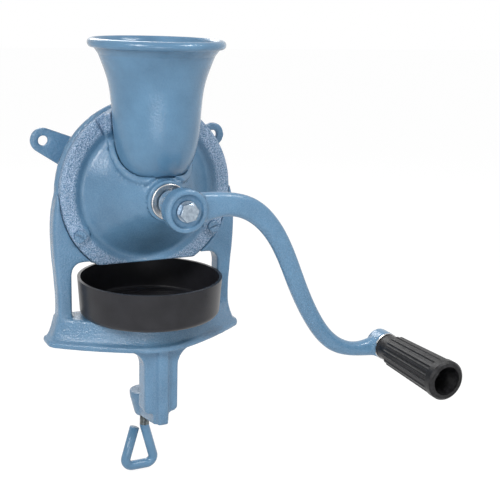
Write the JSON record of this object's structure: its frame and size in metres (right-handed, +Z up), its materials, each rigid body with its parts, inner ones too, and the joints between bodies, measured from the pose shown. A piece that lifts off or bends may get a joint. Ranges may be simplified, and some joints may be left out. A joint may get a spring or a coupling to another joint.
{
  "type": "hand crank coffee grinder",
  "caption": "Cast-iron clamp-on coffee mill with a round grinding chamber, flared hopper, S-shaped hand crank, loose catch tray and a bent-rod table clamp.",
  "frame": {"origin": "on the underside of the base, on the axis of the clamp screw", "axes": "+X to the right as the cook sees it, +Y to the rear, away from the cook, +Z up"},
  "size_m": [0.2758, 0.216, 0.359],
  "materials": {
    "blue_paint": "hammered grey-blue enamel on cast iron",
    "steel": "bare turned steel",
    "zinc": "bright zinc plate",
    "bronze": "plain bearing bronze",
    "burr_iron": "as cast, hardened",
    "black_plastic": "satin black moulding"
  },
  "bodies": {
    "frame": {"body_casting": "blue_paint", "front_cover": "blue_paint", "hopper": "blue_paint", "cover_screws": "blue_paint", "hopper_screws": "steel", "front_bush": "bronze", "rear_bush": "bronze", "thrust_washer": "steel", "fixed_burr": "burr_iron", "burr_screws": "steel", "pressure_spring": "steel", "lock_nut": "steel"},
    "thrust": {"thrust_ball": "steel"},
    "adjuster": {"adjusting_screw": "steel"},
    "crank": {"drive_shaft": "steel", "drive_pins": "steel", "feed_screw": "burr_iron", "moving_burr": "burr_iron", "crank_key": "steel", "crank_arm": "blue_paint", "crank_washer": "zinc", "crank_bolt": "zinc", "grip_washer": "steel", "grip_bolt": "steel"},
    "grip": {"grip": "black_plastic"},
    "tray": {"tray": "black_plastic"},
    "pad": {"clamp_pad": "steel"},
    "screw": {"clamp_screw": "blue_paint"}
  },
  "joints": [
    {"name": "grind_adjust", "type": "slide", "parent": "frame", "child": "thrust", "axis": [0, 1, 0], "range_m": [-0.0005, 0.001]},
    {"name": "adjuster_turn", "type": "hinge", "parent": "thrust", "child": "adjuster", "pos_m": [0, 0, 0.12], "axis": [0, 1, 0], "range_deg": [-181, 361]},
    {"name": "crank_spin", "type": "hinge", "parent": "thrust", "child": "crank", "pos_m": [0, 0, 0.12], "axis": [0, 1, 0], "continuous": true},
    {"name": "grip_spin", "type": "hinge", "parent": "crank", "child": "grip", "pos_m": [0.178, 0, -0.005], "axis": [0, 1, 0], "continuous": true},
    {"name": "tray_slide", "type": "slide", "parent": "frame", "child": "tray", "axis": [0, -1, 0], "range_m": [0, 0.04]},
    {"name": "clamp_slide", "type": "slide", "parent": "frame", "child": "pad", "axis": [0, 0, 1], "range_m": [-0.03, 0.005]},
    {"name": "clamp_turn", "type": "hinge", "parent": "pad", "child": "screw", "pos_m": [0, 0, -0.04], "axis": [0, 0, 1], "range_deg": [-8641, 1441]}
  ],
  "couplings": [
    {"joint": "adjuster_turn", "follows": "grind_adjust", "rad_per_m": 6283.2},
    {"joint": "clamp_turn", "follows": "clamp_slide", "rad_per_m": 5026.5}
  ]
}
